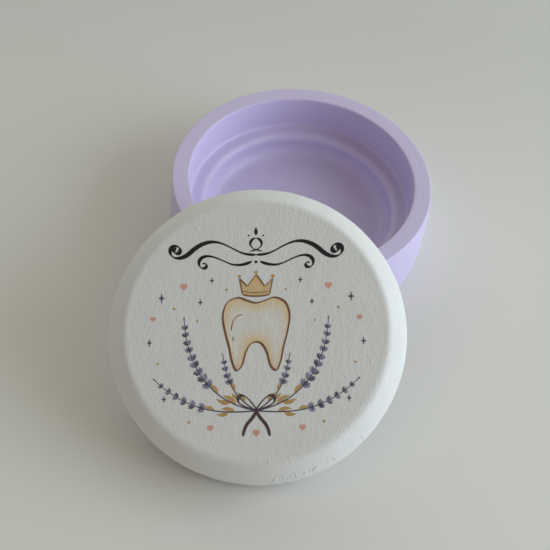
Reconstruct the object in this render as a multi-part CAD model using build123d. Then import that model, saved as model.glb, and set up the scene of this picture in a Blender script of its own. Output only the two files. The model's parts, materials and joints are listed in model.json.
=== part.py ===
from build123d import *
import math
import os

# A turned wooden keepsake box for milk teeth, with its loose lid taken off and leaning on it.
# Millimetres, +Z up. The origin is the middle of the box's foot, on the table.
# The lid leans towards the viewer, on the -Y side of the box.

# The box: a shallow bowl turned from one block, with a wide recess for the lid's plug
# and a deeper, narrower cavity for the teeth below it
box_radius = 45.0
box_height = 26.0
wall_belly = 0.5
rim_width = 6.0
recess_depth = 13.0
ledge_width = 6.0
floor_thickness = 4.5
rim_rounding = 0.5
foot_rounding = 1.5
recess_cove = 1.2
lip_rounding = 2.2
cavity_cove = 4.5

# The lid: a thick turned disc with a softly sloped shoulder, and a plug that drops into the recess
brim_thickness = 17.0
brim_rounding = 1.0
shoulder_width = 5.5
shoulder_height = 6.0
shoulder_swell = 0.3
face_softening = 0.8
side_softening = 2.0
plug_depth = 5.0
plug_rounding = 0.8
plug_clearance = 0.5

# The printed film that is laid on the lid's face
film_thickness = 0.1
film_margin = 0.4

# How the loose lid leans: its plug's front corner stands on the table,
# and its plug's underside lies on the box's front rim
lean_angle = 26.0
lean_turn = 7.5
lean_gap = 0.2

# Sizes that follow from the ones above
recess_radius = box_radius - rim_width
cavity_radius = recess_radius - ledge_width
ledge_level = box_height - recess_depth
lid_radius = box_radius
plug_radius = recess_radius - plug_clearance
lid_height = plug_depth + brim_thickness
face_radius = lid_radius - shoulder_width
film_radius = face_radius - face_softening - film_margin


def ring_edge(solid, radius, level):
    """The circular edge of a turned solid that is nearest to a radius and a level."""
    rings = solid.edges().filter_by(GeomType.CIRCLE)
    return min(rings, key=lambda ring: math.hypot(ring.radius - radius, ring.arc_center.Z - level))


def turned(outline):
    """A half section in the XZ plane, turned a full round about the Z axis."""
    return revolve(make_face(outline), Axis.Z)


def make_box():
    """The box: the outline first with sharp corners, then each corner rounded."""
    section = Polyline(
        (0, 0, 0),
        (box_radius, 0, 0),
    )
    section += ThreePointArc(
        (box_radius, 0, 0),
        (box_radius + wall_belly, 0, box_height / 2),
        (box_radius, 0, box_height),
    )
    section += Polyline(
        (box_radius, 0, box_height),
        (recess_radius, 0, box_height),
        (recess_radius, 0, ledge_level),
        (cavity_radius, 0, ledge_level),
        (cavity_radius, 0, floor_thickness),
        (0, 0, floor_thickness),
        (0, 0, 0),
    )
    box = turned(section)
    corners = (
        (box_radius, 0, foot_rounding),
        (box_radius, box_height, rim_rounding),
        (recess_radius, box_height, rim_rounding),
        (recess_radius, ledge_level, recess_cove),
        (cavity_radius, ledge_level, lip_rounding),
        (cavity_radius, floor_thickness, cavity_cove),
    )
    for radius, level, rounding in corners:
        box = fillet(ring_edge(box, radius, level), rounding)
    return box


def make_lid():
    """The lid, standing upright on its plug's underside at the origin."""
    shoulder_level = lid_height - shoulder_height
    slope = math.hypot(shoulder_width, shoulder_height)
    middle_radius = (lid_radius + face_radius) / 2 + shoulder_swell * shoulder_height / slope
    middle_level = (shoulder_level + lid_height) / 2 + shoulder_swell * shoulder_width / slope
    section = Polyline(
        (0, 0, 0),
        (plug_radius, 0, 0),
        (plug_radius, 0, plug_depth),
        (lid_radius, 0, plug_depth),
        (lid_radius, 0, shoulder_level),
    )
    section += ThreePointArc(
        (lid_radius, 0, shoulder_level),
        (middle_radius, 0, middle_level),
        (face_radius, 0, lid_height),
    )
    section += Polyline(
        (face_radius, 0, lid_height),
        (0, 0, lid_height),
        (0, 0, 0),
    )
    lid = turned(section)
    corners = (
        (plug_radius, 0, plug_rounding),
        (lid_radius, plug_depth, brim_rounding),
        (lid_radius, shoulder_level, side_softening),
        (face_radius, lid_height, face_softening),
    )
    for radius, level, rounding in corners:
        lid = fillet(ring_edge(lid, radius, level), rounding)
    return lid


def make_film():
    """The printed film, lying on the lid's face while the lid stands upright."""
    film = Cylinder(film_radius, film_thickness, align=(Align.CENTER, Align.CENTER, Align.MIN))
    return film.moved(Location((0, 0, lid_height)))


def lean_place():
    """Where the upright lid goes when it leans on the box.

    In the upright plane through the box's axis and the lid's, the plug's underside touches the
    rim's rounded outer corner, a small gap away, and the plug's rounded front corner touches the table.
    """
    rise = math.sin(math.radians(lean_angle))
    run = math.cos(math.radians(lean_angle))
    rim_reach = rise * (box_radius - rim_rounding) + run * (box_height - rim_rounding)
    underside_reach = rim_reach + rim_rounding + lean_gap
    middle_level = (plug_radius - plug_rounding) * rise + plug_rounding * (1 - run)
    middle_ahead = (underside_reach - run * middle_level) / rise
    turn = math.radians(lean_turn)
    ahead = Vector(-math.sin(turn), -math.cos(turn), 0)
    upward = Vector(0, 0, 1)
    place = Plane(
        origin=ahead * middle_ahead + upward * middle_level,
        x_dir=ahead * run - upward * rise,
        z_dir=ahead * rise + upward * run,
    )
    return place.location


def main():
    lean = lean_place()
    nodes = {
        "box_base": make_box(),
        "box_lid": make_lid().moved(lean),
        "print_film": make_film().moved(lean),
    }
    os.makedirs("parts", exist_ok=True)
    for name, shape in nodes.items():
        export_step(shape, f"parts/{name}.step")
        print(name, "volume", round(shape.volume), "cubic mm,", shape.bounding_box())
    print("the lid's axis:", Plane(lean).z_dir)


main()
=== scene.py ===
# %% [markdown]
# # A turned wooden box for milk teeth
# The real object is two pieces of turned wood. A shallow lilac bowl has a stepped inside, and a thick
# white lid drops into it by a plug. The lid has a print on its face. Here the lid is off, and leans on
# the bowl. This lesson dresses the measured model: it adds soft paint, a printed motif and plain light.

import json
import math

import bpy
import numpy as np
from mathutils import Matrix, Vector


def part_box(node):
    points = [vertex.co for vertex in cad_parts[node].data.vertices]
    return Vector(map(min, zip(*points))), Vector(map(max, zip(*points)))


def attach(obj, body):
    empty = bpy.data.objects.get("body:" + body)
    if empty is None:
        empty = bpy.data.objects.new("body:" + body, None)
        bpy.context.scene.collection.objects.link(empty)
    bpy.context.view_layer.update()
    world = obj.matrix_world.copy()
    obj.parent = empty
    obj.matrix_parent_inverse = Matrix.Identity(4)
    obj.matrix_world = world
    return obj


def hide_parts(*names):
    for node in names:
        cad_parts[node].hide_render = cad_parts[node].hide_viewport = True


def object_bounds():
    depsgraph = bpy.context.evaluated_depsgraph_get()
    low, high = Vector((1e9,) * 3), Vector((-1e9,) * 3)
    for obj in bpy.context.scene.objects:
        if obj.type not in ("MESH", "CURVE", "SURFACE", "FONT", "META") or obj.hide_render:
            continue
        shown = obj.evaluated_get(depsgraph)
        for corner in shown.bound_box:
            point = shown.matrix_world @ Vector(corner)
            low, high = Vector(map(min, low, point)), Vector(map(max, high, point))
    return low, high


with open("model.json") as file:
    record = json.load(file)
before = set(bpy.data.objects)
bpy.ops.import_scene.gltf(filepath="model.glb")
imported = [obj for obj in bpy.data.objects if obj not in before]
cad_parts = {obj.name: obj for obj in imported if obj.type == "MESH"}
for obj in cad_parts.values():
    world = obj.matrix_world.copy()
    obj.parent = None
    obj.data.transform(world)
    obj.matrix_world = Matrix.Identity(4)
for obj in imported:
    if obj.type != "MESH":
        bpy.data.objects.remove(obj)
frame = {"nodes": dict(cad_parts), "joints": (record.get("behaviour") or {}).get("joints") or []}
cad_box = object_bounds()
MM = 0.001
scene = bpy.context.scene
cad_box_mm = [tuple(round(v / MM, 1) for v in corner) for corner in cad_box]
print("nodes:", sorted(frame["nodes"]), "CAD box in mm:", cad_box_mm)

# %% [markdown]
# Everything is placed from the frame. The bowl stands at the origin, and its box gives its height and
# width. The lid's axis is the axis of the joint that lifts it. A flat round disc that leans has its
# centre in the middle of its box, so the film's box gives the middle of the lid's face.

# %% Where the pieces are
base_high = np.array(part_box("box_base")[1])
film_low, film_high = (np.array(corner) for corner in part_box("print_film"))
RIM_LEVEL = base_high[2]
FILM_THICKNESS = 0.1 * MM
lid_axis = np.array(frame["joints"][0]["axis"], float)
lid_axis /= np.linalg.norm(lid_axis)
lid_right = np.cross((0.0, 0.0, 1.0), lid_axis)
lid_right /= np.linalg.norm(lid_right)
lid_up = np.cross(lid_axis, lid_right)
face_middle = (film_low + film_high) / 2 - lid_axis * FILM_THICKNESS / 2


def on_lid(across, uphill, height):
    """Points over the lid's face: metres to the right, uphill, and outwards from the face."""
    return (
        face_middle
        + np.multiply.outer(across, lid_right)
        + np.multiply.outer(uphill, lid_up)
        + np.multiply.outer(height, lid_axis)
    )


lean = math.degrees(math.acos(lid_axis[2]))
print("rim at", round(RIM_LEVEL / MM, 2), "mm, lid leans", round(lean, 1), "degrees")

# %% [markdown]
# The camera looks down at the table from about half way up the sky, and is turned a little about its
# own line of sight. Its focal length is written in pixels of the 550 pixel picture, and its place is
# worked out from the pixel where the middle of the bowl's rim shows and from the distance to it.

# %% The camera
PICTURE_SIDE = 550
FOCAL_PIXELS = 1050
SENSOR_WIDTH = 36.0
RIM_PIXEL = (301.8, 176.3)
RIM_DISTANCE = 363.6 * MM
CAMERA_RISE = math.radians(51.9)
CAMERA_ROLL = math.radians(-6.05)


def make_camera():
    """Stands the camera so that the rim's middle shows at its pixel, at its distance along the view."""
    forward = Vector((0, math.cos(CAMERA_RISE), -math.sin(CAMERA_RISE)))
    roll = Matrix.Rotation(CAMERA_ROLL, 3, forward)
    right = roll @ Vector((1, 0, 0))
    up = right.cross(forward)
    middle = (PICTURE_SIDE - 1) / 2
    aside = (RIM_PIXEL[0] - middle) / FOCAL_PIXELS * RIM_DISTANCE
    below = (RIM_PIXEL[1] - middle) / FOCAL_PIXELS * RIM_DISTANCE
    place = Vector((0, 0, RIM_LEVEL)) - forward * RIM_DISTANCE - right * aside + up * below
    data = bpy.data.cameras.new("camera")
    data.sensor_width = SENSOR_WIDTH
    data.lens = FOCAL_PIXELS / PICTURE_SIDE * SENSOR_WIDTH
    data.clip_start = 10 * MM
    camera = bpy.data.objects.new("camera", data)
    turned = Matrix((right, up, -forward)).transposed().to_4x4()
    camera.matrix_world = Matrix.Translation(place) @ turned
    scene.collection.objects.link(camera)
    scene.camera = camera
    return camera


camera = make_camera()
print("camera", round(camera.data.lens, 1), "mm lens at", tuple(round(v / MM) for v in camera.location))

# %% [markdown]
# Colours are written as the hex values that a screen shows. Blender's shaders count in linear light,
# so one function turns a hex value into linear numbers. Another one adds a node to a material: it
# sets the node's properties, and either sets or links each input. A Mix node has sockets of the same
# name for numbers, vectors and colours, so those for colours are picked by their numbers.

# %% Colour and node helpers
# The numbers of a Mix node's colour sockets: its three inputs, and its output.
AMOUNT, FIRST, SECOND = 0, 6, 7
MIXED = 2


def linear(code):
    """A hex colour such as #808080 as linear red, green and blue by the sRGB curve, and an alpha of 1."""
    parts = np.array([int(code[i:i + 2], 16) for i in (1, 3, 5)]) / 255
    curved = np.where(parts <= 0.04045, parts / 12.92, ((parts + 0.055) / 1.055) ** 2.4)
    return (*curved, 1.0)


def put(material, node, inputs):
    """Gives each named input of a node its value, or links it to another node's output socket."""
    for name, value in inputs.items():
        if isinstance(value, bpy.types.NodeSocket):
            material.node_tree.links.new(value, node.inputs[name])
        else:
            node.inputs[name].default_value = value


def add(material, kind, inputs=None, **settings):
    """Adds a node with its settings to a material or a sky, and gives its inputs values or links."""
    node = material.node_tree.nodes.new(kind)
    for name, value in settings.items():
        setattr(node, name, value)
    put(material, node, inputs or {})
    return node


def new_material(name):
    """An empty node material, and its shader, which is linked to the output."""
    material = bpy.data.materials.new(name)
    material.use_nodes = True
    material.node_tree.nodes.clear()
    shader = add(material, "ShaderNodeBsdfPrincipled")
    add(material, "ShaderNodeOutputMaterial", {"Surface": shader.outputs["BSDF"]})
    return material, shader


print("#808080 in linear light:", round(linear("#808080")[0], 3))

# %% [markdown]
# ## The light and the table
# The photograph is lit by one wide window low on the right, so the lid's face, which leans away from
# it, is half in shade, and the right shoulder is bright. A large soft lamp stands for the window.

# %% The window
WINDOW_RISE = math.radians(20)
WINDOW_BEHIND = math.radians(-8)
WINDOW_DISTANCE = 0.9
WINDOW_WIDTH = 0.8
WINDOW_HEIGHT = 0.8
WINDOW_LEVEL = 0.77
WINDOW_TINT = "#e1f5ff"


def make_window():
    """An area lamp that lights a surface square to it by WINDOW_LEVEL.

    A level of 1 shows a colour as it is written.
    """
    data = bpy.data.lights.new("window", "AREA")
    data.shape = "RECTANGLE"
    data.size = WINDOW_WIDTH
    data.size_y = WINDOW_HEIGHT
    data.color = linear(WINDOW_TINT)[:3]
    data.energy = WINDOW_LEVEL * math.pi * math.pi * WINDOW_DISTANCE ** 2
    towards = Vector((
        math.cos(WINDOW_RISE) * math.cos(WINDOW_BEHIND),
        math.cos(WINDOW_RISE) * math.sin(WINDOW_BEHIND),
        math.sin(WINDOW_RISE),
    ))
    lamp = bpy.data.objects.new("window", data)
    lamp.rotation_euler = towards.to_track_quat("Z", "Y").to_euler()
    lamp.location = towards * WINDOW_DISTANCE
    scene.collection.objects.link(lamp)
    return lamp


scene.view_settings.view_transform = "Standard"
window = make_window()
print("window of", round(window.data.energy, 2), "W")

# %% [markdown]
# The room's walls and ceiling send light back unevenly. The sky stands for them: it is a sum of soft
# glows, each strongest in one direction.

# %% The sky
GLOW_POWER = 4.0
# Each glow: its azimuth and its rise in degrees, and its colour in linear light.
SKY_GLOWS = (
    (0, 18, (1.36, 1.31, 1.28)),
    (90, 18, (0.90, 0.95, 0.83)),
    (135, 18, (0.50, 0.53, 0.52)),
    (225, 18, (0.57, 0.52, 0.48)),
    (270, 18, (0.10, 0.08, 0.04)),
    (0, 90, (0.18, 0.15, 0.07)),
)


def make_sky():
    """A sky that is the sum of its soft glows.

    A glow's strength is the cosine of the angle from its middle, raised to GLOW_POWER, and 0 past
    90 degrees.
    """
    world = bpy.data.worlds.new("sky")
    scene.world = world
    world.use_nodes = True
    direction = add(world, "ShaderNodeTexCoord").outputs["Generated"]
    total = (0.0, 0.0, 0.0)
    for azimuth, rise, colour in SKY_GLOWS:
        turn, lift = math.radians(azimuth), math.radians(rise)
        towards = (math.cos(lift) * math.cos(turn), math.cos(lift) * math.sin(turn), math.sin(lift))
        cosine = add(world, "ShaderNodeVectorMath", {0: direction, 1: towards}, operation="DOT_PRODUCT")
        facing = add(world, "ShaderNodeMath", {0: cosine.outputs["Value"], 1: 0.0}, operation="MAXIMUM")
        fall = {0: facing.outputs["Value"], 1: GLOW_POWER}
        level = add(world, "ShaderNodeMath", fall, operation="POWER")
        glow = {0: level.outputs["Value"], 1: colour, 2: total}
        total = add(world, "ShaderNodeVectorMath", glow, operation="MULTIPLY_ADD").outputs["Vector"]
    put(world, world.node_tree.nodes["Background"], {"Color": total, "Strength": 1.0})


make_sky()
print("a sky of", len(SKY_GLOWS), "glows")

# %% [markdown]
# The table is plain pale laminate. Far away it is a little greyer, which is painted shade.
# It has a broad, low sheen.

# %% The table
TABLE_SIDE = 6.0
TABLE_COLOUR = "#e4e3e0"
TABLE_CLOUD = "#e1e0dd"
# The colour of the painted shade on the table's far side.
TABLE_FAR_SHADE = "#d4d4d3"
TABLE_CLOUD_SIZE = 111 * MM
SHADE_FROM, SHADE_TO = 0.0, 0.12


def table_finish():
    """Even pale laminate with a low, broad sheen, and painted shade from SHADE_FROM to SHADE_TO metres in
    y.
    """
    material, shader = new_material("pale laminate board with painted far shade")
    place = add(material, "ShaderNodeTexCoord").outputs["Object"]
    clouds = {"Vector": place, "Scale": 1 / TABLE_CLOUD_SIZE, "Detail": 2.0}
    cloud = add(material, "ShaderNodeTexNoise", clouds)
    shades = {AMOUNT: cloud.outputs["Fac"], FIRST: linear(TABLE_COLOUR), SECOND: linear(TABLE_CLOUD)}
    near = add(material, "ShaderNodeMix", shades, data_type="RGBA").outputs[MIXED]
    axes = add(material, "ShaderNodeSeparateXYZ", {"Vector": place})
    # Painted shade: the board greys towards its far side along y.
    span = {"Value": axes.outputs["Y"], "From Min": SHADE_FROM, "From Max": SHADE_TO}
    away = add(material, "ShaderNodeMapRange", span)
    far_shade = {AMOUNT: away.outputs["Result"], FIRST: near, SECOND: linear(TABLE_FAR_SHADE)}
    tone = add(material, "ShaderNodeMix", far_shade, data_type="RGBA").outputs[MIXED]
    put(material, shader, {"Base Color": tone, "Roughness": 0.55, "IOR": 1.45})
    return material


def make_table():
    """A wide flat board under everything."""
    half = TABLE_SIDE / 2
    mesh = bpy.data.meshes.new("table")
    corners = [(-half, -half, 0), (half, -half, 0), (half, half, 0), (-half, half, 0)]
    mesh.from_pydata(corners, [], [(0, 1, 2, 3)])
    table = bpy.data.objects.new("table", mesh)
    scene.collection.objects.link(table)
    mesh.materials.append(table_finish())


make_table()
print("table", TABLE_SIDE, "m wide")

# %% [markdown]
# ## Turned shapes
# A turned piece is one outline carried round an axis. The outline is written as corners, each with
# its radius, level and rounding. A rounded corner becomes an arc, and long runs are divided, so that
# the mesh has even faces that can hold small unevenness in the paint.

# %% Outlines with rounded corners
ARC_STEPS = 7


def rounded(corners, step):
    """The outline through (radius, level, rounding) corners as an array of points.

    At a corner that turns by an angle t, an arc of radius r starts and ends r * tan(t / 2) from it.
    Straight runs are divided into parts no longer than the step.
    """
    points = [np.array(corners[0][:2])]
    for before, here, after in zip(corners, corners[1:], corners[2:]):
        corner = np.array(here[:2])
        inward = np.array(before[:2]) - corner
        outward = np.array(after[:2]) - corner
        inward /= np.linalg.norm(inward)
        outward /= np.linalg.norm(outward)
        between = math.acos(np.clip(inward @ outward, -1, 1))
        if here[2] == 0:
            points.append(corner)
            continue
        reach = here[2] / math.tan(between / 2)
        halfway = (inward + outward) / np.linalg.norm(inward + outward)
        middle = corner + halfway * here[2] / math.sin(between / 2)
        first = corner + inward * reach - middle
        last = corner + outward * reach - middle
        opening = math.acos(np.clip(first @ last / here[2] ** 2, -1, 1))
        for share in np.linspace(0, 1, ARC_STEPS):
            blend = math.sin((1 - share) * opening) * first + math.sin(share * opening) * last
            points.append(middle + blend / math.sin(opening))
    points.append(np.array(corners[-1][:2]))
    runs = []
    for start, end in zip(points, points[1:]):
        parts = max(1, math.ceil(np.linalg.norm(end - start) / step))
        runs.append(start + np.linspace(0, 1, parts, endpoint=False)[:, None] * (end - start))
    return np.vstack(runs + [points[-1][None]])


print("a corner's arc has", ARC_STEPS, "points")

# %% [markdown]
# All points of a piece are worked out at once, and foreach_set copies them into its mesh. A round
# piece closes on itself, so each row's last point is joined to its first one.

# %% From grids to meshes
SHARP_ANGLE = math.radians(50)


def surface(name, grids, material, extras=()):
    """A mesh from grids of points, each shaped rows by columns by 3, whose columns close into rings.

    Each face joins two neighbours in a row with the same two in the next row. Each end is closed by
    one point, the mean of its row, joined to that row by triangles. What a point holds after its
    three coordinates goes into the mesh as attributes, under the extra names.
    """
    points, quads, triangles = [], [], []
    count = 0
    for grid in grids:
        rows, columns, size = grid.shape
        ring = np.arange(columns)
        turn = (ring + 1) % columns
        row = np.arange(rows - 1)[:, None] * columns + count
        here, beside = row + ring, row + turn
        quads.append(np.stack([here, beside, beside + columns, here + columns], -1).reshape(-1, 4))
        first, last = row[0] + ring, row[-1] + columns + ring
        count += rows * columns
        triangles.append(np.stack([np.full(columns, count), first[turn], first], -1))
        triangles.append(np.stack([np.full(columns, count + 1), last, last[turn]], -1))
        points += [grid.reshape(-1, size), grid[0].mean(0)[None], grid[-1].mean(0)[None]]
        count += 2
    return mesh_piece(name, np.vstack(points), np.vstack(quads), np.vstack(triangles), material, extras)


def mesh_piece(name, points, quads, triangles, material, extras):
    """An object at the origin from points and the corner numbers of its faces.

    It is shaded smooth, but for edges sharper than SHARP_ANGLE.
    """
    mesh = bpy.data.meshes.new(name)
    corners = np.concatenate([quads.reshape(-1), triangles.reshape(-1)])
    sizes = np.repeat([4, 3], [len(quads), len(triangles)])
    mesh.vertices.add(len(points))
    mesh.vertices.foreach_set("co", points[:, :3].astype(np.float32).reshape(-1))
    mesh.loops.add(len(corners))
    mesh.loops.foreach_set("vertex_index", corners.astype(np.int32))
    mesh.polygons.add(len(sizes))
    starts = np.concatenate([[0], np.cumsum(sizes)[:-1]])
    mesh.polygons.foreach_set("loop_start", starts.astype(np.int32))
    mesh.update(calc_edges=True)
    mesh.validate()
    for place, extra in enumerate(extras):
        values = mesh.attributes.new(extra, "FLOAT", "POINT").data
        values.foreach_set("value", points[:, 3 + place].astype(np.float32))
    mesh.shade_smooth()
    mesh.set_sharp_from_angle(angle=SHARP_ANGLE)
    mesh.materials.append(material)
    piece = bpy.data.objects.new(name, mesh)
    scene.collection.objects.link(piece)
    return piece


print("edges over", round(math.degrees(SHARP_ANGLE)), "degrees stay sharp")

# %% [markdown]
# Nothing made by hand is quite even. Waves in many random directions add up to gentle unevenness
# that doesn't seem to repeat.

# %% Gentle unevenness
def waves(places, count, shortest, longest, seed, stretch=(1, 1, 1)):
    """Gentle random unevenness at an array of places, about -1 to 1.

    It adds cosine waves of random directions, with lengths between the shortest and the longest, and
    divides the sum by the square root of their number. A stretch above 1 draws the unevenness out.
    """
    random = np.random.default_rng(seed)
    directions = random.normal(size=(count, 3))
    directions /= np.linalg.norm(directions, axis=1)[:, None]
    directions /= np.array(stretch, float)
    lengths = np.exp(random.uniform(math.log(shortest), math.log(longest), count))
    phases = random.uniform(0, 2 * math.pi, count)
    angles = places @ (directions * (2 * math.pi / lengths)[:, None]).T + phases
    return np.cos(angles).sum(-1) / math.sqrt(count)


print("unevenness at three places:", waves(np.eye(3), count=40, shortest=1, longest=2, seed=0).round(2))

# %% [markdown]
# ## The lilac bowl
# The bowl is turned from one block and sprayed or brushed with satin paint, which hides the grain but
# keeps soft edges. Its inside steps down twice: a wide recess for the lid's plug, a level ledge with
# a rounded lip, and a narrower cavity with a coved floor. One outline holds all of it.

# %% The bowl's shape
RIM_WIDTH = 6.0 * MM
WALL_BELLY = 0.5 * MM
RECESS_DEPTH = 13.0 * MM
LEDGE_WIDTH = 6.0 * MM
FLOOR_THICKNESS = 4.5 * MM
RIM_ROUNDING = 0.5 * MM
FOOT_ROUNDING = 1.5 * MM
RECESS_COVE = 1.2 * MM
LIP_ROUNDING = 2.2 * MM
CAVITY_COVE = 4.5 * MM
BOX_RADIUS = base_high[0] - WALL_BELLY
BOX_AROUND = 560
BOX_STEP = 0.9 * MM
BELLY_POINTS = 9


def bowl_outline():
    """The bowl's outline from the middle of its foot, up the wall, over the rim and down inside.

    The wall is a shallow bow: its extra radius is the belly times 1 - u * u, for u from -1 to 1. The
    points nearest to its ends are left out, to stay clear of the foot's and the rim's arcs.
    """
    recess_radius = BOX_RADIUS - RIM_WIDTH
    cavity_radius = recess_radius - LEDGE_WIDTH
    ledge_level = RIM_LEVEL - RECESS_DEPTH
    corners = [(0, 0, 0), (BOX_RADIUS, 0, FOOT_ROUNDING)]
    for share in np.linspace(-1, 1, BELLY_POINTS)[2:-2]:
        level = RIM_LEVEL * (1 + share) / 2
        corners.append((BOX_RADIUS + WALL_BELLY * (1 - share * share), level, 0))
    corners += [
        (BOX_RADIUS, RIM_LEVEL, RIM_ROUNDING),
        (recess_radius, RIM_LEVEL, RIM_ROUNDING),
        (recess_radius, ledge_level, RECESS_COVE),
        (cavity_radius, ledge_level, LIP_ROUNDING),
        (cavity_radius, FLOOR_THICKNESS, CAVITY_COVE),
        (0, FLOOR_THICKNESS, 0),
    ]
    return rounded(corners, BOX_STEP)


def turned_grid(outline, around):
    """The outline carried round the Z axis: x and y are the radius times the cosine and sine."""
    angle = np.linspace(0, 2 * math.pi, around, endpoint=False)
    radius = outline[1:-1, 0][:, None]
    level = np.broadcast_to(outline[1:-1, 1][:, None], (len(outline) - 2, around))
    return np.stack([radius * np.cos(angle), radius * np.sin(angle), level], -1)


print("the bowl's outline has", len(bowl_outline()), "points")

# %% [markdown]
# Satin acrylic paint on sanded wood shows a soft, broad highlight. The colour hardly varies, but the
# surface has faint rings from the lathe and a fine, even tooth from the sprayed paint. Both are
# drawn coarser than the real ones, because those would be too fine to show.

# %% The bowl's finish
LILAC = "#d1c6ea"
LILAC_DEEP = "#cdc2e7"
LILAC_CLOUD_SIZE = 16.7 * MM
RING_SPACING = 1.78 * MM
RING_SHARE = 0.25
SPRAY_GRAIN = 0.35 * MM
SPRAY_HEIGHT = 0.012 * MM


def lilac_finish():
    """Satin lilac acrylic paint, sprayed on turned wood.

    The wave texture's rings lie pi / (10 * scale) apart.
    """
    material, shader = new_material("satin acrylic on turned wood")
    place = add(material, "ShaderNodeTexCoord").outputs["Object"]
    clouds = {"Vector": place, "Scale": 1 / LILAC_CLOUD_SIZE, "Detail": 3.0}
    cloud = add(material, "ShaderNodeTexNoise", clouds)
    shades = {AMOUNT: cloud.outputs["Fac"], FIRST: linear(LILAC), SECOND: linear(LILAC_DEEP)}
    tone = add(material, "ShaderNodeMix", shades, data_type="RGBA").outputs[MIXED]
    turned = {"Vector": place, "Scale": math.pi / (10 * RING_SPACING), "Distortion": 1.5, "Detail": 2.0}
    rings = add(material, "ShaderNodeTexWave", turned, wave_type="RINGS", rings_direction="Z")
    grain = add(material, "ShaderNodeTexNoise", {"Vector": place, "Scale": 1 / SPRAY_GRAIN, "Detail": 2.0})
    both_heights = {0: rings.outputs["Fac"], 1: RING_SHARE, 2: grain.outputs["Fac"]}
    height = add(material, "ShaderNodeMath", both_heights, operation="MULTIPLY_ADD").outputs["Value"]
    bump = add(material, "ShaderNodeBump", {"Height": height, "Distance": SPRAY_HEIGHT, "Strength": 0.5})
    normal = bump.outputs["Normal"]
    put(material, shader, {"Base Color": tone, "Roughness": 0.42, "IOR": 1.47, "Normal": normal})
    return material


bowl = surface("lilac_bowl", [turned_grid(bowl_outline(), BOX_AROUND)], lilac_finish())
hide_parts("box_base")
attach(bowl, "base")
print("bowl:", len(bowl.data.polygons), "faces")

# %% [markdown]
# ## The white lid
# The lid is one thick disc with a plug under it. Its shoulder slopes softly from the face to the
# side in a shallow arc.

# %% The lid's outline
PLUG_CLEARANCE = 0.5 * MM
PLUG_DEPTH = 5.0 * MM
PLUG_ROUNDING = 0.8 * MM
PLUG_ROOT = 0.2 * MM
BRIM_THICKNESS = 17.0 * MM
BRIM_ROUNDING = 1.0 * MM
SHOULDER_WIDTH = 5.5 * MM
SHOULDER_HEIGHT = 6.0 * MM
SHOULDER_SWELL = 0.3 * MM
SIDE_SOFTENING = 2.0 * MM
SHOULDER_POINTS = 5
LID_STEP = 0.6 * MM
lid_height = PLUG_DEPTH + BRIM_THICKNESS
face_radius = BOX_RADIUS - SHOULDER_WIDTH


def shoulder_point(share):
    """Radius and level on the shoulder, for a share of the way up from the side to the face.

    The shoulder is an arc: the straight slope from the side to the face, pushed out square to
    itself by the swell times 4 u (1 - u), for u from 0 to 1.
    """
    push = SHOULDER_SWELL * 4 * share * (1 - share) / math.hypot(SHOULDER_WIDTH, SHOULDER_HEIGHT)
    radius = BOX_RADIUS - SHOULDER_WIDTH * share + SHOULDER_HEIGHT * push
    return np.array([radius, SHOULDER_HEIGHT * (share - 1) + SHOULDER_WIDTH * push])


def lid_outline():
    """The lid's outline, face at level 0, from the plug's middle, round the brim, to the face's middle."""
    plug_radius = BOX_RADIUS - RIM_WIDTH - PLUG_CLEARANCE
    corners = [
        (0, -lid_height, 0),
        (plug_radius, -lid_height, PLUG_ROUNDING),
        (plug_radius, -BRIM_THICKNESS, PLUG_ROOT),
        (BOX_RADIUS, -BRIM_THICKNESS, BRIM_ROUNDING),
        (*shoulder_point(0), SIDE_SOFTENING),
    ]
    corners += [(*shoulder_point(share), 0) for share in np.linspace(0, 1, SHOULDER_POINTS)[1:]]
    corners.append((0, 0, 0))
    return rounded(corners, LID_STEP)


print("the lid's outline has", len(lid_outline()), "points")

# %% [markdown]
# The edge of the face was sanded by hand, so it is rounder in some places than in others: a table
# gives how far the wear reaches, place by place round the lid.

# %% The worn edge
# Each place: degrees round the lid, and the wear's reach over the face and down the shoulder in mm.
EDGE_WEAR = (
    (0, 0.8, 1.2), (20, 0.4, 1.3), (40, 0.4, 1.9), (60, 0.7, 1.4), (90, 1.3, 1.0), (120, 1.8, 0.8),
    (150, 2.0, 0.6), (180, 1.2, 0.7), (210, 1.2, 0.7), (240, 1.8, 0.8), (270, 2.2, 0.8), (300, 2.1, 1.0),
    (330, 2.0, 1.0), (345, 1.8, 1.1),
)


def worn(grid):
    """The grid with the sharp edge of the face sanded by hand, more in some places than in others.

    The worn edge is a curve from a point on the face to one down the shoulder. A point at a share g
    of the way between them, from -1 over 0 at the old corner to 1, goes to the corner plus
    shoulder * ((1 + g) / 2) ** 2 + face * ((1 - g) / 2) ** 2, where shoulder and face are the reaches
    from the corner.
    """
    degrees, *reaches = np.array(EDGE_WEAR).T
    angle = np.arctan2(grid[..., 1], grid[..., 0])
    face, shoulder = (np.interp(np.degrees(angle), degrees, reach * MM, period=360) for reach in reaches)
    radius, level = np.hypot(grid[..., 0], grid[..., 1]), grid[..., 2]
    from_corner = np.where(level < 0, np.hypot(radius - face_radius, level), radius - face_radius)
    share = from_corner / np.where(from_corner > 0, shoulder, face)
    near = np.abs(share) < 1
    down = shoulder_point(1 - 1 / (SHOULDER_POINTS - 1)) - (face_radius, 0)
    down /= np.linalg.norm(down)
    lowered, inward = shoulder * ((1 + share) / 2) ** 2, face * ((1 - share) / 2) ** 2
    radius = np.where(near, face_radius + down[0] * lowered - inward, radius)
    level = np.where(near, down[1] * lowered, level)
    return np.stack([radius * np.cos(angle), radius * np.sin(angle), level], -1)


print("the wear reaches up to", max(face for _, face, _ in EDGE_WEAR), "mm over the face")

# %% [markdown]
# Chalky paint is brushed on thickly, so the side and the shoulder waver a little. The waves only
# draw the surface in, so the lid keeps its real size.

# %% The waver of the paint
LID_AROUND = 480
LID_WAVER = 0.03 * MM
WAVER_COUNT = 40
WAVER_LENGTHS = (5 * MM, 22 * MM)
WAVER_SEED = 3
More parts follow.
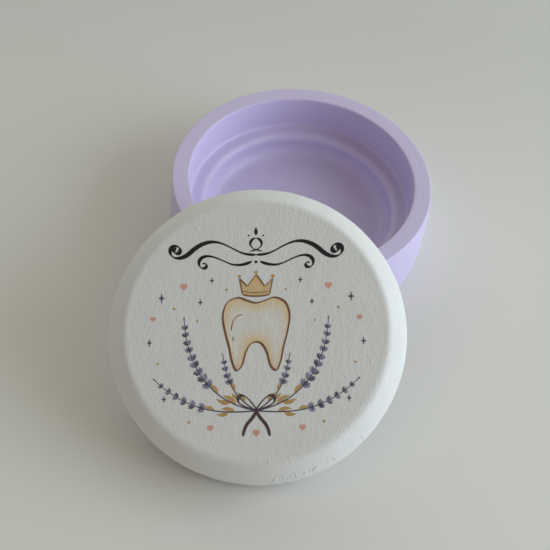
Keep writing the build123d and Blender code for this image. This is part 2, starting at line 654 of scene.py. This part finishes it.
# The waver grows between these shares of the lid's radius, and stays off the underside.
WAVER_SHARES = (0.87, 0.95)
UNDERSIDE_SHARE = 0.98


def lid_grid():
    """The outline carried round the lid's axis, worn, drawn in by up to twice the waver, and leant."""
    grid = worn(turned_grid(lid_outline(), LID_AROUND))
    radius = np.hypot(grid[..., 0], grid[..., 1])
    inward = LID_WAVER * (1 + np.clip(waves(grid, WAVER_COUNT, *WAVER_LENGTHS, WAVER_SEED), -1, 1))
    start, full = WAVER_SHARES
    side = np.clip((radius / BOX_RADIUS - start) / (full - start), 0, 1)
    side = side * (grid[..., 2] > -BRIM_THICKNESS * UNDERSIDE_SHARE)
    scale = 1 - inward * side / radius
    return on_lid(grid[..., 0] * scale, grid[..., 1] * scale, grid[..., 2] - inward * side)


print("the waver is up to", round(2 * LID_WAVER / MM, 2), "mm deep")

# %% [markdown]
# Chalk paint is matt and nearly white. Brushed on and sanded lightly, it keeps short soft streaks
# along the brush and a fine pimpled grain, both of which show in slanting light. Two noises make
# the height: one drawn out along the brush's direction, and one round and finer. The streaks and
# the grain are drawn coarser than the real ones, so that they show.

# %% The lid's finish
CHALK = "#e4e6e9"
CHALK_WARM = "#dedfdf"
CHALK_CLOUD_SIZE = 11.1 * MM
BRUSH_WIDTH = 0.7 * MM
BRUSH_LENGTH = 2.1 * MM
BRUSH_HEIGHT = 0.12 * MM
BRUSH_TURN = math.radians(-9)
PIMPLE_SIZE = 0.6 * MM
PIMPLE_SHARE = 0.5


def chalk_tone(material, place):
    """The chalk paint's colour, which drifts a little from place to place."""
    clouds = {"Vector": place, "Scale": 1 / CHALK_CLOUD_SIZE, "Detail": 4.0}
    cloud = add(material, "ShaderNodeTexNoise", clouds)
    shades = {AMOUNT: cloud.outputs["Fac"], FIRST: linear(CHALK), SECOND: linear(CHALK_WARM)}
    return add(material, "ShaderNodeMix", shades, data_type="RGBA").outputs[MIXED]


def brushed_height(material):
    """The Object coordinates, and a bump from brush streaks and pimples that lie along the lid's face."""
    place = add(material, "ShaderNodeTexCoord").outputs["Object"]
    lid_turn = Matrix((lid_right, lid_up, lid_axis)).transposed()
    turn = (lid_turn @ Matrix.Rotation(BRUSH_TURN, 3, "Z")).to_euler()
    laid = {"Vector": place, "Rotation": turn, "Scale": (BRUSH_WIDTH, BRUSH_LENGTH, BRUSH_WIDTH)}
    along = add(material, "ShaderNodeMapping", laid, vector_type="TEXTURE")
    drawn = {"Vector": along.outputs["Vector"], "Scale": 1.0, "Detail": 3.0}
    streaks = add(material, "ShaderNodeTexNoise", drawn)
    round_grain = {"Vector": place, "Scale": 1 / PIMPLE_SIZE, "Detail": 1.0}
    pimples = add(material, "ShaderNodeTexNoise", round_grain)
    both_heights = {0: pimples.outputs["Fac"], 1: PIMPLE_SHARE, 2: streaks.outputs["Fac"]}
    height = add(material, "ShaderNodeMath", both_heights, operation="MULTIPLY_ADD").outputs["Value"]
    bump = add(material, "ShaderNodeBump", {"Height": height, "Distance": BRUSH_HEIGHT, "Strength": 1.0})
    return place, bump.outputs["Normal"]


def chalk_finish():
    """Matt white chalk paint, brushed on turned wood."""
    material, shader = new_material("brushed chalk paint on turned wood")
    place, normal = brushed_height(material)
    tone = chalk_tone(material, place)
    put(material, shader, {"Base Color": tone, "Roughness": 0.78, "IOR": 1.45, "Normal": normal})
    return material


chalk = chalk_finish()
lid = surface("white_lid", [lid_grid()], chalk)
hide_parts("box_lid")
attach(lid, "lid")
print("lid:", len(lid.data.polygons), "faces")

# %% [markdown]
# Thick paint dries with small faults. Each of them is made as a low dome that sits on the paint.

# %% Domes on the paint
# Each ring of a dome: its reach as a share of the rim's, and how far it is raised, or sunk if negative.
DOME_RINGS = ((1.0, -0.1 * MM), (1.0, 0), (0.8, 0), (0.5, 0), (0.2, 0))
DOME_AROUND = 8


def on_shoulder(turn, depth):
    """The place at an angle round the lid and a depth under its face, with two directions there.

    The first points straight out of the slope, and the second runs round the lid.
    """
    out = math.cos(turn) * lid_right + math.sin(turn) * lid_up
    slope = math.hypot(SHOULDER_WIDTH, SHOULDER_HEIGHT)
    radius, level = shoulder_point(1 - depth / SHOULDER_HEIGHT)
    place = face_middle + radius * out + level * lid_axis
    return place, (SHOULDER_HEIGHT * out + SHOULDER_WIDTH * lid_axis) / slope, np.cross(lid_axis, out)


def dome(middle, normal, around, half_width, half_length, height, slant):
    """A low dome that stands on the paint, square to the normal.

    At a slant of 0 its width lies along the direction called around. With r from 0 in its middle to
    1 at its rim, its height is the given one times 1 - r * r. Its first ring is sunk under the paint.
    """
    uphill = np.cross(normal, around)
    angle = np.linspace(0, 2 * math.pi, DOME_AROUND, endpoint=False)
    reach, sunk = np.array(DOME_RINGS).T[:, :, None]
    aside, along = half_width * reach * np.cos(angle), half_length * reach * np.sin(angle)
    cosine, sine = math.cos(slant), math.sin(slant)
    rise = np.broadcast_to(height * (1 - reach * reach) + sunk, aside.shape)
    return (
        middle
        + np.multiply.outer(aside * cosine - along * sine, around)
        + np.multiply.outer(aside * sine + along * cosine, uphill)
        + np.multiply.outer(rise, normal)
    )


print("a dome has", len(DOME_RINGS) * DOME_AROUND + 2, "points")

# %% [markdown]
# A row of blisters follows the shoulder where a drip ran round the lid's low side, and a few ridges
# and specks stand near the edge of the face. They are all one piece, in the lid's own paint.

# %% Blisters and ridges
BLISTERS = 60
BLISTERS_FROM, BLISTERS_TO = math.radians(289), math.radians(307)
BLISTER_DEPTH = 4.7 * MM
BLISTER_SCATTER = 0.35 * MM
BLISTER_HALF_WIDTHS = (0.14, 0.4)
BLISTER_HALF_LENGTHS = (0.16, 0.6)
BLISTER_RISE_SHARE = 0.6
BLISTER_SLANT = 0.5
BLISTER_SEED = 5
# Each ridge or speck in mm: its middle's place to the right, uphill and above the face's plane, half
# its width and length, and its height. The last number is its slant in degrees.
RIDGES = (
    (-25.6, 27.4, 0, 0.3, 0.9, 0.06, 42),
    (-24.1, 26.4, 0, 0.35, 1.45, 0.13, -30),
    (35.2, -2.2, 0, 0.35, 0.9, 0.14, 38),
    (36.5, -3.5, 0, 0.25, 0.3, 0.08, 0),
    (12.3, -37.0, -0.1, 0.35, 0.38, 0.21, 0),
)


def blister_domes():
    """Blisters of mixed sizes, scattered a little to both sides of their line."""
    random = np.random.default_rng(BLISTER_SEED)
    turns = random.uniform(BLISTERS_FROM, BLISTERS_TO, BLISTERS)
    depths = BLISTER_DEPTH + random.normal(0, BLISTER_SCATTER, BLISTERS)
    widths = random.uniform(*BLISTER_HALF_WIDTHS, BLISTERS) * MM
    lengths = random.uniform(*BLISTER_HALF_LENGTHS, BLISTERS) * MM
    slants = random.normal(0, BLISTER_SLANT, BLISTERS)
    return [
        dome(*on_shoulder(turn, depth), width, length, width * BLISTER_RISE_SHARE, slant)
        for turn, depth, width, length, slant in zip(turns, depths, widths, lengths, slants)
    ]


def ridge_domes():
    """The ridges and specks on the face."""
    return [
        dome(
            on_lid(x * MM, y * MM, level * MM), lid_axis, lid_right,
            width * MM, length * MM, height * MM, math.radians(slant),
        )
        for x, y, level, width, length, height, slant in RIDGES
    ]


blisters = surface("paint_blisters", blister_domes() + ridge_domes(), chalk)
print("blisters:", BLISTERS, "ridges and specks:", len(RIDGES))

# %% [markdown]
# Two nicks in the shoulder's paint are small pits, and their grey is painted shade. Each is drawn as a
# very low grey dome, thinner than a sheet of paper, because a hollow would need a hole in the lid's
# surface.

# %% The nicks
# Each nick: degrees round the lid, mm under the face, half its width and length in mm, and its slant.
NICKS = ((313.7, 4.6, 0.24, 0.6, 10), (327.2, 4.6, 0.2, 0.75, -20))
NICK_HEIGHT = 0.03 * MM
# The grey of the painted shade in the nicks' pits.
PIT_SHADE_GREY = "#9da2a8"


def pit_shade_finish():
    """Grey painted shade in the small pits where the chalk paint is nicked."""
    material, shader = new_material("grey painted pit shade")
    place, normal = brushed_height(material)
    grain = add(material, "ShaderNodeTexNoise", {"Vector": place, "Scale": 1 / PIMPLE_SIZE, "Detail": 2.0})
    shades = {AMOUNT: grain.outputs["Fac"], FIRST: linear(PIT_SHADE_GREY), SECOND: linear(CHALK_WARM)}
    tone = add(material, "ShaderNodeMix", shades, data_type="RGBA").outputs[MIXED]
    put(material, shader, {"Base Color": tone, "Roughness": 0.8, "IOR": 1.45, "Normal": normal})
    return material


nick_domes = [
    dome(
        *on_shoulder(math.radians(turn), depth * MM),
        width * MM, length * MM, NICK_HEIGHT, math.radians(slant),
    )
    for turn, depth, width, length, slant in NICKS
]
nicks = surface("paint_nicks", nick_domes, pit_shade_finish())
for piece in (blisters, nicks):
    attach(piece, "lid")
print("nicks:", len(NICKS))

# %% [markdown]
# ## The printed film
# The motif is a transfer print: a film a tenth of a millimetre thick, pressed into the tacky paint
# so that its edge all but vanishes. It follows the paint's unevenness, and sinks away at its rim.
# One function gives its height anywhere on the face, so that the inks can lie on it exactly.

# %% The film's shape
FILM_RADIUS = 37.8 * MM
FILM_FEATHER = 7.0 * MM
FILM_RINGS = 90
FILM_AROUND = 420
FILM_RIPPLE = 0.018 * MM
RIPPLE_COUNT = 60
RIPPLE_LENGTHS = (2 * MM, 7 * MM)
RIPPLE_STRETCH = (1, 2, 1)
RIPPLE_SEED = 8
FILM_SUNK = 0.05 * MM
FILM_TUCK = 0.6 * MM
FILM_UNDERSIDE = 0.075 * MM
UNDER_SHARES = (0.2, 1.0)


def film_height(across, uphill):
    """The film's height over the lid's face: flat, with ripples, and an edge that sinks away.

    With u from 0 at the rim to 1 a feather's width in, the height is multiplied by
    u * u * (3 - 2 * u). Within FILM_TUCK of the rim it also goes down evenly, by FILM_SUNK at the rim
    itself.
    """
    places = np.stack([across, uphill, np.zeros_like(across)], -1)
    ripples = waves(places, RIPPLE_COUNT, *RIPPLE_LENGTHS, RIPPLE_SEED, RIPPLE_STRETCH)
    height = FILM_THICKNESS - FILM_RIPPLE * (1 + np.clip(ripples, -1, 1))
    inside = FILM_RADIUS - np.hypot(across, uphill)
    edge = np.clip(inside / FILM_FEATHER, 0, 1)
    sunk = np.clip(1 - inside / FILM_TUCK, 0, 1)
    return height * edge * edge * (3 - 2 * edge) - FILM_SUNK * sunk


def film_grid():
    """Rings that run outwards along the sunken underside, and back in over the top to the middle."""
    angle = np.linspace(0, 2 * math.pi, FILM_AROUND, endpoint=False)
    under = np.array(UNDER_SHARES) * FILM_RADIUS
    over = np.linspace(1, 0, FILM_RINGS, endpoint=False)[1:] * FILM_RADIUS
    radii = np.concatenate([under, over])[:, None]
    across, uphill = radii * np.cos(angle), radii * np.sin(angle)
    height = film_height(across, uphill)
    height[:len(under)] = -FILM_UNDERSIDE
    return on_lid(across, uphill, height)


film_rows, film_columns = film_grid().shape[:2]
print("the film has", film_rows, "rings of", film_columns, "points")

# %% [markdown]
# The film itself is clear and matt, so it shows the chalk paint under it, with a little more sheen.

# %% The film's finish
FILM_ROUGHNESS = 0.7
FILM_IOR = 1.46


def film_finish():
    """A clear matt film over chalk paint, which shows the paint's colour and grain."""
    material, shader = new_material("matt transfer film")
    place, normal = brushed_height(material)
    put(material, shader, {
        "Base Color": chalk_tone(material, place),
        "Roughness": FILM_ROUGHNESS,
        "IOR": FILM_IOR,
        "Normal": normal,
    })
    return material


film = surface("transfer_film", [film_grid()], film_finish())
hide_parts("print_film")
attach(film, "lid")
print("film:", len(film.data.polygons), "faces")

# %% [markdown]
# ## The printed motif
# A keepsake print has a few inks: black and brown from a pen, and gold, violet and blush
# watercolour. Here it is a tooth with a small crown, lavender tied with a bow, and a pair of pen
# flourishes. Each stroke is its own thin skin of ink that lies on the film and follows its
# ripples. The strokes are drawn flat, in millimetres to the right and uphill of the face's middle.

# %% Pen paths
PEN_STEP = 0.25
BEND_FEWEST, LINE_FEWEST = 3, 4


def swing(start, heading, bends):
    """A pen's path from its start, its first heading in degrees, and its bends.

    A bend is (length, first, last): over that length the curvature goes evenly from the first to
    the last, in degrees for each millimetre. The heading is the running sum of the curvature, and
    the path is the running sum of the heading's cosine and sine.
    """
    steps, curves = [], []
    for length, first, last in bends:
        count = max(BEND_FEWEST, round(length / PEN_STEP))
        steps.append(np.full(count, length / count))
        curves.append(np.linspace(first, last, count))
    steps = np.concatenate(steps)
    angle = np.radians(heading + np.cumsum(np.concatenate(curves) * steps))
    moves = np.stack([np.cos(angle), np.sin(angle)], -1) * steps[:, None]
    return np.vstack([[start], start + np.cumsum(moves, 0)])


def straight(start, end):
    """A pen's path along a straight line."""
    return np.linspace(start, end, max(LINE_FEWEST, round(math.dist(start, end) / PEN_STEP)))


def ways(line):
    """The unit direction of a path at each of its points."""
    way = np.gradient(line, axis=0)
    return way / np.linalg.norm(way, axis=1)[:, None]


def smooth_loop(corners, start, end, count):
    """Points of a smooth closed curve through the corners, from one corner number to another.

    Between two corners it is a cubic, which leaves each of them along the line from the corner
    before it to the one after it, at half that line's length for each corner number.
    """
    corners = np.array(corners, float)
    place = np.linspace(start, end, count)
    index = np.floor(place).astype(int)
    share = (place - index)[:, None]
    before, here, after, later = (corners[(index + step) % len(corners)] for step in (-1, 0, 1, 2))
    return 0.5 * (
        2 * here
        + (after - before) * share
        + (2 * before - 5 * here + 4 * after - later) * share ** 2
        + (3 * here - before - 3 * after + later) * share ** 3
    )


print("a flourish of 30 mm has", len(swing((0, 0), 0, [(30, 0, 5)])), "points")

# %% [markdown]
# A stroke is kept as its left and its right side. A broad nib that is held at one angle draws thin
# lines one way and thick ones the other.

# %% Strokes
NIB_TURN = math.radians(40)
NIB_CONTRAST = 1.5
DOT_POINTS = 9
BLUNT = 0.02


def ribbon(line, widths, tone):
    """A stroke: its left side, its right side and its tone from 0, pale, to 1, deep."""
    way = ways(line)
    aside = np.stack([-way[:, 1], way[:, 0]], -1) * np.asarray(widths)[..., None] / 2
    return line + aside, line - aside, tone


def pen(line, thin, thick, tone=1.0, taper=2.0):
    """A stroke of a broad nib, with tapered ends.

    Its width goes from thin to thick with the sine of the angle between the path and the nib,
    raised to NIB_CONTRAST. Over the taper at each end it grows as a quarter of an ellipse does.
    """
    way = ways(line)
    slant = np.abs(np.sin(np.arctan2(way[:, 1], way[:, 0]) - NIB_TURN)) ** NIB_CONTRAST
    walked = np.concatenate([[0], np.cumsum(np.linalg.norm(np.diff(line, axis=0), axis=1))])
    ends = np.clip(np.minimum(walked, walked[-1] - walked) / taper, BLUNT, 1)
    return ribbon(line, (thin + (thick - thin) * slant) * np.sqrt(ends * (2 - ends)), tone)


def leaf(root, heading, length, width, bend=0.0, tone=1.0, points=7, fullest=0.8):
    """A leaf from its root.

    Its width goes as the sine of pi times u ** fullest, with u from 0 to 1 along the leaf.
    """
    share = np.linspace(0, 1, points)
    angle = np.radians(heading + bend * share)
    line = np.array(root) + np.stack([np.cos(angle), np.sin(angle)], -1) * (share * length)[:, None]
    return ribbon(line, width * np.maximum(np.sin(math.pi * share ** fullest), BLUNT), tone)


def dot(middle, size, tone=1.0):
    """A round dot: its upper half circle and its lower one."""
    turn = np.linspace(0, math.pi, DOT_POINTS)[:, None]
    out = size / 2 * np.hstack([-np.cos(turn), np.maximum(np.sin(turn), BLUNT)])
    return np.array(middle) + out, np.array(middle) + out * (1, -1), tone


def both(strokes):
    """The strokes with their mirror images. A mirrored left side is a right side, so they are swapped."""
    flip = np.array([-1, 1])
    return strokes + [(right * flip, left * flip, tone) for left, right, tone in strokes]


print("a dot has", len(dot((0, 0), 1)[0]), "points a side")

# %% [markdown]
# The black flourishes stand over the tooth. They are scrolls of a broad nib that curl up at their
# ends, drawn for one side and mirrored.

# %% The black flourishes
# Each scroll: its start, its heading, its bends, and its width where the nib is thin and thick.
SCROLLS = (
    ((0, 22.6), 0, ((5, 2, 8), (8, 3, -7), (8, -9, -4), (6, 2, 20), (6, 26, 40), (5, 44, 80)), 0.35, 1.45),
    ((1.2, 20.6), -28, ((7, 5, 9), (7, 4, -9), (6, -16, -40), (3.2, -55, -95)), 0.3, 1.1),
    ((0, 27.8), -8, ((3.2, -20, -42), (4.2, -34, 8)), 0.3, 0.85),
)
DROP = ((0, 28.6), 90, 2.6, 1.1)
BLACK_DOTS = ((0, 20.4, 0.9), (2.2, 28.6, 0.55), (-2.2, 28.6, 0.55))


def black_strokes():
    """Three scrolls a side, a drop over the middle and three dots."""
    scrolls = [pen(swing(*path), thin, thick) for *path, thin, thick in SCROLLS]
    return both(scrolls) + [leaf(*DROP)] + [dot((x, y), size) for x, y, size in BLACK_DOTS]


print("black strokes:", len(black_strokes()))

# %% [markdown]
# The tooth is a line drawing with a thin wash of colour, which pools along the outline and in the
# tips of the roots, as watercolour does. Both fills are ruled between two curves: the tooth's
# between its crown and the arch of its roots, and the little crown's between its zigzag and its foot.

# %% The tooth and its crown
TOOTH_HALF = (
    (0, 7.9), (2.6, 8.6), (5.6, 9.5), (8.7, 7.9), (9.9, 4.0), (9.2, -0.8), (8.0, -5.4), (7.2, -9.4),
    (5.9, -12.2), (4.2, -10.8), (3.2, -7.2), (1.8, -4.6), (0, -3.8),
)
ROOT_TIP = 8
WASH_POINTS = 90
WASH_POOLING = 5
OUTLINE_START = 0.3
OUTLINE_POINTS = 320
SHINE = (((-7.4, -0.4), 86, ((3, -3, -8), (3.6, -16, -26))), ((-6.9, -3.6), 82, ((1.6, 0, 0),)))
ZIGZAG = ((-5.0, 15.4), (-2.6, 12.9), (0, 16.6), (2.6, 12.9), (5.0, 15.4))
CROWN_FOOT = ((-4.0, 10.4), (-2.0, 10.0), (0, 9.9), (2.0, 10.0), (4.0, 10.4))
BAND_RISE = 1.1
BALL_RISE = 0.6
BALL_SIZE = 1.1


def tooth_strokes():
    """The wash inside the tooth, deepest at the roots' tips, and its brown outline and shine."""
    loop = TOOTH_HALF + tuple((-x, y) for x, y in TOOTH_HALF[-2:0:-1])
    crown = smooth_loop(loop, len(loop) - ROOT_TIP, len(loop) + ROOT_TIP, WASH_POINTS)
    arch = smooth_loop(loop, len(loop) - ROOT_TIP, ROOT_TIP, WASH_POINTS)
    wash = [(crown, arch, np.abs(np.linspace(-1, 1, WASH_POINTS)) ** WASH_POOLING)]
    round_tooth = smooth_loop(loop, OUTLINE_START, OUTLINE_START + len(loop) + 1, OUTLINE_POINTS)
    outline = pen(round_tooth, thin=0.3, thick=0.75, tone=0.6, taper=3.0)
    shine = [pen(swing(*stroke), thin=0.2, thick=0.5, tone=0.2, taper=0.8) for stroke in SHINE]
    return wash, [outline] + shine


def crown_strokes():
    """The crown's gold fill and balls, and its brown edges and band."""
    zigzag = np.vstack([straight(a, b)[:-1] for a, b in zip(ZIGZAG, ZIGZAG[1:])] + [[ZIGZAG[-1]]])
    corner = np.linspace(0, len(CROWN_FOOT) - 1, len(zigzag))
    foot = np.stack([np.interp(corner, range(len(CROWN_FOOT)), axis) for axis in zip(*CROWN_FOOT)], -1)
    gold = [(zigzag, foot, 0.35)] + [dot((x, y + BALL_RISE), BALL_SIZE, 0.7) for x, y in ZIGZAG[::2]]
    edges = [*zip(ZIGZAG, ZIGZAG[1:]), (ZIGZAG[0], CROWN_FOOT[0]), (CROWN_FOOT[-1], ZIGZAG[-1])]
    brown = [pen(straight(a, b), thin=0.22, thick=0.5, tone=0.5, taper=0.8) for a, b in edges]
    brown.append(pen(foot, thin=0.35, thick=0.6, tone=0.5, taper=1.0))
    brown.append(pen(foot + (0, BAND_RISE), thin=0.18, thick=0.3, tone=0.4, taper=1.0))
    return gold, brown


print("tooth and crown:", sum(map(len, tooth_strokes() + crown_strokes())), "strokes")

# %% [markdown]
# Three stalks of lavender leave the bow on each side. A flower head is a row of whorls with five
# buds each, in mixed tones, which get smaller towards the one bud at the tip.

# %% The lavender
# Each stalk: its heading, its bends, how many whorls, where the first one is, and a bud's length.
STALKS = (
    (12, ((11, 1, 3.2), (26, 2.6, 1.3)), 10, 0.42, 2.5),
    (-5, ((11, 0.4, 1.6), (21, 2.0, 1.6)), 7, 0.48, 2.2),
    (32, ((8, 1, 4.5), (11.5, 4.0, 0.5)), 5, 0.56, 1.9),
)
KNOT = (0.0, -24.0)
STALK_WIDTHS = (0.42, 0.22)
# Each leaf: its share of the way to the first whorl, its turn, and its length in buds.
STALK_LEAVES = ((0.40, 38, 1.9), (0.52, -40, 1.7), (0.80, 34, 1.5))
LEAF_SLIMNESS = 0.55
LEAF_CURL = -0.7
LEAF_DEEPEST_TURN = 50
BUD_TURNS = (-62, 62, -36, 36, 0)
BUD_TONES = (0.15, 0.3, 0.75, 0.5, 0.95)
BUD_SLIMNESS = 0.39
BUD_CURL = -0.3
BUD_SHRINK = 0.45


def lavender_strokes(heading, bends, whorls, first, bud):
    """One stalk with its buds, and its leaves, which sit below the first whorl."""
    line = swing(KNOT, heading, bends)
    headings = np.degrees(np.arctan2(*ways(line).T[::-1]))
    violet = [ribbon(line, np.linspace(*STALK_WIDTHS, len(line)), 0.9)]
    leaves = []
    for share, turn, length in STALK_LEAVES:
        place = round(share * first * (len(line) - 1))
        aim, width = headings[place] + turn, LEAF_SLIMNESS * bud
        tone = abs(turn) / LEAF_DEEPEST_TURN
        leaves.append(leaf(line[place], aim, length * bud, width, LEAF_CURL * turn, tone, points=12))
    for whorl, share in enumerate(np.linspace(0, 1, whorls)):
        place = round((first + (1 - first) * share) * (len(line) - 1))
        size = bud * (1 - BUD_SHRINK * share)
        for nth, turn in enumerate(BUD_TURNS if share < 1 else BUD_TURNS[-1:]):
            tone = BUD_TONES[(nth + 2 * whorl) % len(BUD_TONES)]
            aim = headings[place] + turn
            violet.append(leaf(line[place], aim, size, BUD_SLIMNESS * size, BUD_CURL * turn, tone))
    return violet, leaves


print("the longest lavender:", sum(map(len, lavender_strokes(*STALKS[0]))), "strokes")

# %% [markdown]
# The bow is two loops and two tails of ribbon, drawn with the broad nib for one side and mirrored.

# %% The bow
KNOT_SIZE = 1.5
BOW_THIN = 0.35
# Each ribbon of the bow: its heading, its bends and its width where the nib is thick.
BOW = (
    (20, ((5.4, -2, 8), (4.0, 42, 46), (6.0, 10, -5)), 1.1),
    (-70, ((4, 8, 4), (4.5, -12, -4)), 1.0),
)


def bow_strokes():
    """Two loops and two tails of ribbon, and the knot."""
    ribbons = [pen(swing(KNOT, *path), BOW_THIN, thick, taper=1.2) for *path, thick in BOW]
    return both(ribbons) + [dot(KNOT, KNOT_SIZE)]


print("bow:", len(bow_strokes()), "strokes")

# %% [markdown]
# Small sparkles, hearts and gold dots are scattered round the rest.

# %% Sparkles, hearts and dots
# Each sparkle, heart and dot: its place to the right and uphill, and its size.
SPARKLES = ((28.2, 9.6, 1.0), (16.6, 8.2, 0.75), (31.6, -3.8, 0.8), (13.2, 14.8, 0.7), (27.0, -20.5, 0.75))
# Each ray and the one opposite: its heading in degrees, and its reach.
SPARKLE_RAYS = ((90, 1.5), (0, 1.05), (45, 0.6), (135, 0.6))
RAY_WIDTH = 0.42
HEARTS = ((21.6, 12.9, 1.0), (30.6, 3.2, 0.8), (13.4, -29.0, 0.9))
LOW_HEART = (0, -30.5, 1.0)
LOBE_SPREAD = 22
LOBE_BEND = 6
LOBE_LENGTH = 2.2
LOBE_WIDTH = 1.35
GOLD_DOTS = (
    (24.4, 6.4, 0.8), (17.4, 2.6, 0.64), (29.0, -10.0, 0.72), (19.6, -27.2, 0.8), (8.8, 12.0, 0.72),
)


def sparkle(x, y, size):
    """A star of four long rays and four short ones, each a thin leaf."""
    rays = [(heading + back, reach) for heading, reach in SPARKLE_RAYS for back in (0, 180)]
    return [
        leaf((x, y), heading, reach * size, RAY_WIDTH * size, tone=0.9, points=5)
        for heading, reach in rays
    ]


def heart(x, y, size):
    """Two fat leaves from one tip."""
    tip = (x, y - size)
    length, width = LOBE_LENGTH * size, LOBE_WIDTH * size
    lobes = [(90 - LOBE_SPREAD * side, LOBE_BEND * side) for side in (1, -1)]
    return [leaf(tip, aim, length, width, bend, 0.5, points=12, fullest=1.5) for aim, bend in lobes]


print("a sparkle has", len(sparkle(0, 0, 1)), "rays")

# %% [markdown]
# All strokes of one ink become one piece. A stroke's cross-section is a closed ring: over the top
# from its left side to its right, and back inside the film. The whole motif is turned a little on
# the lid.

# %% The inks on the film
PRINT_TURN = math.radians(13)
INK_COLUMN = 0.5
INK_LIFT = 0.035 * MM
WASH_LIFT = 0.018 * MM
INK_SUNK = 0.03 * MM


def pressed(stroke, lift):
    """A stroke as a grid on the film, with its tone and how near each point is to its middle.

    With u from 0 to 1 across the stroke, the middle is 4 * u * (1 - u).
    """
    left, right, tone = stroke
    count = 2 + math.ceil(np.linalg.norm(left - right, axis=1).max() / INK_COLUMN)
    share = np.concatenate([np.linspace(0, 1, count), [1, 0]])[None, :, None]
    flat = (left[:, None] * (1 - share) + right[:, None] * share) * MM
    cosine, sine = math.cos(PRINT_TURN), math.sin(PRINT_TURN)
    across = flat[..., 0] * cosine - flat[..., 1] * sine
    uphill = flat[..., 0] * sine + flat[..., 1] * cosine
    height = film_height(across, uphill) + lift
    height[:, -2:] -= lift + INK_SUNK
    tones = np.broadcast_to(np.broadcast_to(tone, len(left))[:, None], across.shape)
    middle = np.broadcast_to(4 * share[..., 0] * (1 - share[..., 0]), across.shape)
    return np.concatenate([on_lid(across, uphill, height), tones[..., None], middle[..., None]], -1)


print("a dot of 1 mm is a grid of", pressed(dot((0, 0), 1), INK_LIFT).shape[:2], "points")

# %% [markdown]
# Watercolour ink is see-through: where it is thin, the chalk shows. The strokes carry two numbers.
# The tone picks between a pale and a deep colour. The middle says how far the point is from the
# stroke's sides, where the pigment gathers. A fine noise breaks the wash up, as the grain of the
# paint does.

# %% The inks' finishes
GRAIN = 0.8 * MM
GRAIN_SWING = 0.8
GRAIN_FLOOR = 0.6


def ink_finish(name, pale, deep, body):
    """A printed ink: opaque along its sides, and with the given body in the middle of a pale stroke.

    Its colour covers a share 1 - (1 - body) * middle * (1 - tone) * patches of the chalk's, where the
    patches are GRAIN_FLOOR plus GRAIN_SWING times a noise.
    """
    material, shader = new_material(name)
    place, normal = brushed_height(material)
    tone = add(material, "ShaderNodeAttribute", attribute_name="tone").outputs["Fac"]
    middle = add(material, "ShaderNodeAttribute", attribute_name="middle").outputs["Fac"]
    grain = add(material, "ShaderNodeTexNoise", {"Vector": place, "Scale": 1 / GRAIN, "Detail": 3.0})
    paleness = add(material, "ShaderNodeMath", {0: 1.0, 1: tone}, operation="SUBTRACT").outputs["Value"]
    thinness = add(material, "ShaderNodeMath", {0: middle, 1: paleness}, operation="MULTIPLY")
    patches = {0: grain.outputs["Fac"], 1: GRAIN_SWING, 2: GRAIN_FLOOR}
    patchy = add(material, "ShaderNodeMath", patches, operation="MULTIPLY_ADD").outputs["Value"]
    thin_patches = {0: thinness.outputs["Value"], 1: patchy}
    clear = add(material, "ShaderNodeMath", thin_patches, operation="MULTIPLY").outputs["Value"]
    cover = {0: clear, 1: body - 1, 2: 1.0}
    shown = add(material, "ShaderNodeMath", cover, operation="MULTIPLY_ADD", use_clamp=True)
    shades = {AMOUNT: tone, FIRST: linear(pale), SECOND: linear(deep)}
    colour = add(material, "ShaderNodeMix", shades, data_type="RGBA").outputs[MIXED]
    laid = {AMOUNT: shown.outputs["Value"], FIRST: chalk_tone(material, place), SECOND: colour}
    put(material, shader, {
        "Base Color": add(material, "ShaderNodeMix", laid, data_type="RGBA").outputs[MIXED],
        "Roughness": FILM_ROUGHNESS,
        "IOR": FILM_IOR,
        "Normal": normal,
    })
    return material


print("the ink's grain is", round(GRAIN / MM, 1), "mm across")

# %% [markdown]
# Every stroke is now drawn, sorted by ink and pressed onto the film. One piece holds all strokes of
# an ink, and their tone and middle are attributes of its mesh, which the ink's material reads.

# %% Print the motif
def scattered(places, make):
    """What make draws at each of the places, on both sides."""
    return both([stroke for x, y, size in places for stroke in make(x, y, size)])


def motif():
    """Every stroke of the print, sorted by ink."""
    wash, tooth = tooth_strokes()
    gold, crown = crown_strokes()
    violet = scattered(SPARKLES, sparkle)
    for stalk in STALKS:
        buds, leaves = lavender_strokes(*stalk)
        violet += both(buds)
        gold += both(leaves)
    gold += scattered(GOLD_DOTS, lambda x, y, size: [dot((x, y), size, 0.8)])
    hearts = scattered(HEARTS, heart) + heart(*LOW_HEART)
    return {
        "wash": wash,
        "gold": gold,
        "violet": violet,
        "blush": hearts,
        "brown": tooth + crown + bow_strokes(),
        "black": black_strokes(),
    }


# Each ink: its name, its pale and deep colours, its body, and how far it lies above the film.
INKS = {
    "wash": ("watercolour wash", "#e2c594", "#dba28c", 0.06, WASH_LIFT),
    "gold": ("ochre watercolour", "#e4bf78", "#a97f3c", 0.6, WASH_LIFT),
    "violet": ("violet watercolour", "#9b91b4", "#474256", 0.8, INK_LIFT),
    "blush": ("blush watercolour", "#e3ae9a", "#cf8f7c", 0.7, INK_LIFT),
    "brown": ("brown ink", "#a37446", "#553f42", 1.0, INK_LIFT),
    "black": ("black ink", "#17171b", "#17171b", 1.0, INK_LIFT),
}
for ink, strokes in motif().items():
    material_name, pale, deep, body, lift = INKS[ink]
    finish = ink_finish(material_name, pale, deep, body)
    grids = [pressed(stroke, lift) for stroke in strokes]
    printed = surface("print_" + ink, grids, finish, ("tone", "middle"))
    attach(printed, "lid")
    print(material_name + ":", len(strokes), "strokes,", len(printed.data.polygons), "faces")

# %% [markdown]
# The dressed model keeps the measured one's size.


print("the dressed model is built")
